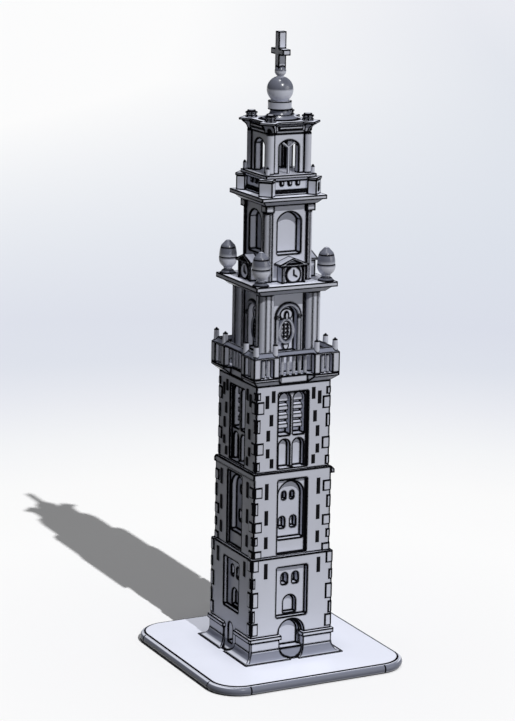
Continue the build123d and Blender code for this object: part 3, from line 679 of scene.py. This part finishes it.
def resin_material(name):
    """Cast resin with a dark wash along its edges, painted shade on its slopes and painted light on its
    level tops.
    """
    look = bpy.context.scene.tower_finish
    finish = FINISHES[name]
    material, tree = new_material(name)
    links = tree.links
    shader = tree.nodes["Principled BSDF"]
    skin = node(tree, "ShaderNodeGroup", (-900, 100), node_tree=casting_skin_group())
    skin.inputs["Colour"].default_value = (*look.resin, 1.0)
    wash = node(tree, "ShaderNodeGroup", (-900, -150), node_tree=edge_wash_group())
    wash.inputs["Reach"].default_value = look.ink_reach * finish.reach
    wash.inputs["From"].default_value, wash.inputs["Full"].default_value = finish.keenness
    slope = node(tree, "ShaderNodeGroup", (-900, 350), node_tree=painted_slope_shade_group())
    slope.inputs["From"].default_value, slope.inputs["Full"].default_value = finish.slope
    slope.inputs["Side highlight"].default_value = finish.side_highlight
    # Painted light: level faces are made lighter in colour.
    top_lit = node(tree, "ShaderNodeVectorMath", (-750, 100), operation="SCALE")
    links.new(skin.outputs["Colour"], top_lit.inputs[0])
    links.new(slope.outputs["Lift"], top_lit.inputs["Scale"])
    # Painted shade: sloping faces keep only a share of their colour, a little bluer.
    slope_shade_colour = [finish.left * tint for tint in SLOPE_SHADE_TINT]
    casting = top_lit.outputs["Vector"]
    shaded = blend(tree, (-600, 200), slope.outputs["Mask"], casting, slope_shade_colour, "MULTIPLY")
    inked = wash.outputs["Mask"]
    if name in LINES_OF:
        lines = node(tree, "ShaderNodeGroup", (-900, -350), node_tree=LINES_OF[name]())
        inked = maths(tree, (-600, -250), "MAXIMUM", inked, lines.outputs["Mask"])
    links.new(blend(tree, (-300, 100), inked, shaded, look.ink), shader.inputs["Base Color"])
    shine = map_range(tree, (-300, -50), inked, 0.0, 1.0, finish.gloss, 0.0)
    links.new(shine, shader.inputs["Specular IOR Level"])
    links.new(skin.outputs["Roughness"], shader.inputs["Roughness"])
    bump = node(tree, "ShaderNodeBump", (-300, -250))
    bump.inputs["Strength"].default_value = look.grain
    bump.inputs["Distance"].default_value = GRAIN_DEPTH
    links.new(skin.outputs["Height"], bump.inputs["Height"])
    links.new(bump.outputs["Normal"], shader.inputs["Normal"])
    return material


def resin(name="Cast resin"):
    """The resin finish of a given name, made the first time it is asked for."""
    return bpy.data.materials.get(name) or resin_material(name)


def finish_of(piece):
    """Name of the finish a cast piece gets."""
    for name, starts in FINISH_OF.items():
        if piece.startswith(starts):
            return name
    return "Cast resin"


def inked_metal():
    """Blackened metal of the clock hands and wall anchors, a little worn."""
    if "Inked metal" in bpy.data.materials:
        return bpy.data.materials["Inked metal"]
    material, tree = new_material("Inked metal")
    shader = tree.nodes["Principled BSDF"]
    place = node(tree, "ShaderNodeTexCoord", (-700, 0))
    wear = node(tree, "ShaderNodeTexNoise", (-500, 0))
    wear.inputs["Scale"].default_value = WEAR_SCALE
    tree.links.new(place.outputs["Object"], wear.inputs["Vector"])
    ink = bpy.context.scene.tower_finish.ink
    worn = blend(tree, (-250, 100), wear.outputs["Fac"], ink, WORN_INK)
    tree.links.new(worn, shader.inputs["Base Color"])
    shader.inputs["Roughness"].default_value = METAL_ROUGHNESS
    shader.inputs["Specular IOR Level"].default_value = METAL_GLOSS
    return material


def floor_tint(tree, colour):
    """The floor's colour by distance from the model, paler again far off to the camera's left."""
    links = tree.links
    place = node(tree, "ShaderNodeTexCoord", (-1300, 0))
    reach = node(tree, "ShaderNodeVectorMath", (-1100, 0), operation="LENGTH")
    across = node(tree, "ShaderNodeVectorMath", (-1100, -250), operation="DOT_PRODUCT")
    across.inputs[1].default_value = CAMERA_RIGHT
    links.new(place.outputs["Object"], reach.inputs[0])
    links.new(place.outputs["Object"], across.inputs[0])
    ramp = node(tree, "ShaderNodeValToRGB", (-600, 100))
    links.new(maths(tree, (-850, 100), "DIVIDE", reach.outputs["Value"], FLOOR_REACH), ramp.inputs[0])
    while len(ramp.color_ramp.elements) < len(FLOOR_TINTS):
        ramp.color_ramp.elements.new(0.5)
    for element, (distance, tint) in zip(ramp.color_ramp.elements, FLOOR_TINTS):
        element.position = distance / FLOOR_REACH
        element.color = (*[share * part for share, part in zip(tint, colour)], 1.0)
    side = map_range(tree, (-850, -250), across.outputs["Value"], TINT_KEPT, TINT_GONE)
    side.node.clamp = False
    far = map_range(tree, (-850, -500), reach.outputs["Value"], PALER_FROM, PALER_FULL)
    lift = maths(tree, (-600, -300), "MULTIPLY", side, far)
    lift.node.use_clamp = True
    return blend(tree, (-250, 0), lift, ramp.outputs[0], colour)


def floor_material(look):
    """Pale floor, darker and cooler further off, that throws almost no light back on the model."""
    material, tree = new_material("Pale floor")
    links = tree.links
    tree.nodes.remove(tree.nodes["Principled BSDF"])
    diffuse = node(tree, "ShaderNodeBsdfDiffuse", (500, 0))
    path = node(tree, "ShaderNodeLightPath", (-250, 300))
    seen = maths(tree, (0, 250), "MAXIMUM", path.outputs["Is Camera Ray"], path.outputs["Is Glossy Ray"])
    colour = blend(tree, (250, 0), seen, FLOOR_BOUNCE, floor_tint(tree, look.floor))
    links.new(colour, diffuse.inputs["Color"])
    lean = node(tree, "ShaderNodeCombineXYZ", (250, -250))
    lean.inputs["Y"].default_value = -FLOOR_LEAN
    lean.inputs["Z"].default_value = FLOOR_LEAN
    links.new(lean.outputs[0], diffuse.inputs["Normal"])
    links.new(diffuse.outputs[0], tree.nodes["Material Output"].inputs["Surface"])
    return material


# ---------------------------------------------------------------- operators, one for each kind of piece
class TOWER_OT_finish_castings(bpy.types.Operator):
    """Give every cast piece its resin finish"""

    bl_idname = "tower.finish_castings"
    bl_label = "Finish the castings"

    def execute(self, context):
        for name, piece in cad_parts.items():
            piece.data.materials.clear()
            piece.data.materials.append(resin(finish_of(name)))
        return {"FINISHED"}


class TOWER_OT_corner_stones(bpy.types.Operator):
    """Raised stones with sloping margins, in pairs at the corners of the three lower stages"""

    bl_idname = "tower.corner_stones"
    bl_label = "Corner stones"

    def execute(self, context):
        rise = context.scene.tower_trim.stone_rise
        for stage, wall in shaft_walls().items():
            long, short = STONE_LENGTHS[stage]
            placed = []
            for bottom, top, is_long in STONES[stage]:
                length = ((long if is_long else short) + STONE_SKIRT) * MM
                for sign in (-1, 1):
                    ends = sorted((sign * (wall - CORNER_GAP * MM), sign * (wall - length)))
                    low = (ends[0], -wall - SQUARE_EDGE * MM, (bottom - STONE_SKIRT) * MM)
                    high = (ends[1], -wall + SUNK * MM, (top + STONE_SKIRT) * MM)
                    stone = add_block("stone", low, high)
                    raise_front(stone, rise, rise - SQUARE_EDGE * MM)
                    placed.extend(on_four_sides(stone))
            fit_out(join(placed, f"corner_stones_{stage}"), resin("Stone resin"))
        return {"FINISHED"}


class TOWER_OT_wall_anchors(bpy.types.Operator):
    """Upright wall anchors on the three lower stages"""

    bl_idname = "tower.wall_anchors"
    bl_label = "Wall anchors"

    def execute(self, context):
        trim = context.scene.tower_trim
        half = trim.anchor_width / 2
        for stage, wall in shaft_walls().items():
            placed = []
            for across, bottom, top in ANCHORS[stage]:
                for sign in (-1, 1):
                    middle = sign * across * MM
                    low = (middle - half, -wall - SQUARE_EDGE * MM, bottom * MM)
                    high = (middle + half, -wall + SUNK * MM, top * MM)
                    bar = add_block("anchor", low, high)
                    raise_front(bar, trim.anchor_rise - ANCHOR_FLANK * MM, trim.anchor_rise)
                    placed.extend(on_four_sides(bar))
            fit_out(join(placed, f"wall_anchors_{stage}"), inked_metal())
        return {"FINISHED"}


class TOWER_OT_clock_hands(bpy.types.Operator):
    """Two tapered hands on each of the four dials"""

    bl_idname = "tower.clock_hands"
    bl_label = "Clock hands"

    def execute(self, context):
        half = context.scene.tower_trim.hand_width / 2
        face = -DIAL_FACE * MM
        to_dial = Matrix.Translation((0, 0, DIAL_HEIGHT * MM))
        placed = []
        for rank, (length, turn) in enumerate(HANDS):
            low = (-half, face - (HAND_FRONT + HAND_STEP * rank) * MM, -HAND_TAIL * MM)
            high = (half, face + SUNK * MM, (1 - TIP_SHARE) * length * MM)
            hand = add_block("hand", low, high)
            taper_tip(hand, TIP_SHARE * length * MM)
            hand.data.transform(to_dial @ Matrix.Rotation(math.radians(turn), 4, (0, -1, 0)))
            placed.extend(on_four_sides(hand))
        fit_out(join(placed, "clock_hands"), inked_metal())
        return {"FINISHED"}


class TOWER_OT_stage(bpy.types.Operator):
    """Pale floor, lamps and the camera"""

    bl_idname = "tower.stage"
    bl_label = "Floor, lamps and camera"

    def execute(self, context):
        look = context.scene.tower_stage
        floor = self.floor(look)
        model = self.light_group("All but the floor", floor, "EXCLUDE")
        floor_only = self.light_group("Only the floor", floor, "INCLUDE")
        self.lamp("key_lamp", look.key, KEY_TILT, KEY_SPREAD, model)
        self.lamp("floor_key_lamp", look.floor_key, KEY_TILT, KEY_SPREAD, floor_only)
        self.lamp("fill_lamp", look.fill, FILL_TILT, FILL_SPREAD, model, shadows=False)
        self.lamp("top_lamp", look.top, OVERHEAD, TOP_SPREAD, model)
        self.lamp("floor_lamp", look.floor_top, OVERHEAD, FLOOR_SPREAD, floor_only)
        self.sky(context.scene, look.sky)
        self.camera(context.scene)
        context.scene.view_settings.view_transform = "Standard"
        return {"FINISHED"}

    @staticmethod
    def floor(look):
        """The floor that the model stands on."""
        clear_selection()
        bpy.ops.mesh.primitive_plane_add(size=FLOOR_SIZE, location=(0, 0, 0))
        floor = bpy.context.object
        floor.name = "floor"
        floor.data.materials.append(floor_material(look))
        return floor

    @staticmethod
    def light_group(name, floor, state):
        """Collection that tells a lamp to pass over the floor, or to light nothing else."""
        group = bpy.data.collections.new(name)
        group.objects.link(floor)
        group.collection_objects[0].light_linking.link_state = state
        return group

    @staticmethod
    def lamp(name, strength, tilt, spread, lit, shadows=True):
        """A distant lamp; at strength 1 a face square to it renders in its own colour."""
        data = bpy.data.lights.new(name, "SUN")
        data.energy = strength * math.pi
        data.angle = math.radians(spread)
        data.use_shadow = shadows
        lamp = bpy.data.objects.new(name, data)
        lamp.rotation_euler = [math.radians(angle) for angle in tilt]
        bpy.context.scene.collection.objects.link(lamp)
        lamp.light_linking.receiver_collection = lit

    @staticmethod
    def sky(scene, strength):
        """Faint even light from all round."""
        world = bpy.data.worlds.new("Studio")
        scene.world = world
        world.use_nodes = True
        sky = world.node_tree.nodes["Background"]
        sky.inputs["Color"].default_value = SKY_COLOUR
        sky.inputs["Strength"].default_value = strength

    @staticmethod
    def camera(scene):
        """The camera, in front of the model and to its left."""
        data = bpy.data.cameras.new("camera")
        data.lens = CAMERA_LENS
        data.sensor_width = CAMERA_SENSOR
        data.clip_end = 100.0
        camera = bpy.data.objects.new("camera", data)
        place = Matrix.Translation(CAMERA_PLACE)
        heading = Matrix.Rotation(math.radians(CAMERA_HEADING), 4, "Z")
        drop = Matrix.Rotation(math.radians(90 - CAMERA_DROP), 4, "X")
        roll = Matrix.Rotation(math.radians(CAMERA_ROLL), 4, "Z")
        camera.matrix_world = place @ heading @ drop @ roll
        scene.collection.objects.link(camera)
        scene.camera = camera


STEPS = (
    TOWER_OT_finish_castings,
    TOWER_OT_corner_stones,
    TOWER_OT_wall_anchors,
    TOWER_OT_clock_hands,
    TOWER_OT_stage,
)
GROUPS = (TowerFinish, TowerTrim, TowerStage)


class TOWER_PT_panel(bpy.types.Panel):
    """Lists the steps that dress the tower"""

    bl_idname = "TOWER_PT_panel"
    bl_label = "Bell Tower"
    bl_space_type = "VIEW_3D"
    bl_region_type = "UI"
    bl_category = "Bell Tower"

    def draw(self, context):
        scene = context.scene
        for group in (scene.tower_finish, scene.tower_trim, scene.tower_stage):
            box = self.layout.box()
            for name in group.__annotations__:
                box.prop(group, name)
        for step in STEPS:
            self.layout.operator(step.bl_idname)


def register():
    for kind in (*GROUPS, *STEPS, TOWER_PT_panel):
        bpy.utils.register_class(kind)
    bpy.types.Scene.tower_finish = bpy.props.PointerProperty(type=TowerFinish)
    bpy.types.Scene.tower_trim = bpy.props.PointerProperty(type=TowerTrim)
    bpy.types.Scene.tower_stage = bpy.props.PointerProperty(type=TowerStage)


def unregister():
    del bpy.types.Scene.tower_stage
    del bpy.types.Scene.tower_trim
    del bpy.types.Scene.tower_finish
    for kind in reversed((*GROUPS, *STEPS, TOWER_PT_panel)):
        bpy.utils.unregister_class(kind)


def main():
    register()
    bpy.ops.tower.finish_castings()
    bpy.ops.tower.corner_stones()
    bpy.ops.tower.wall_anchors()
    bpy.ops.tower.clock_hands()
    bpy.ops.tower.stage()


if __name__ == "__main__":
    main()
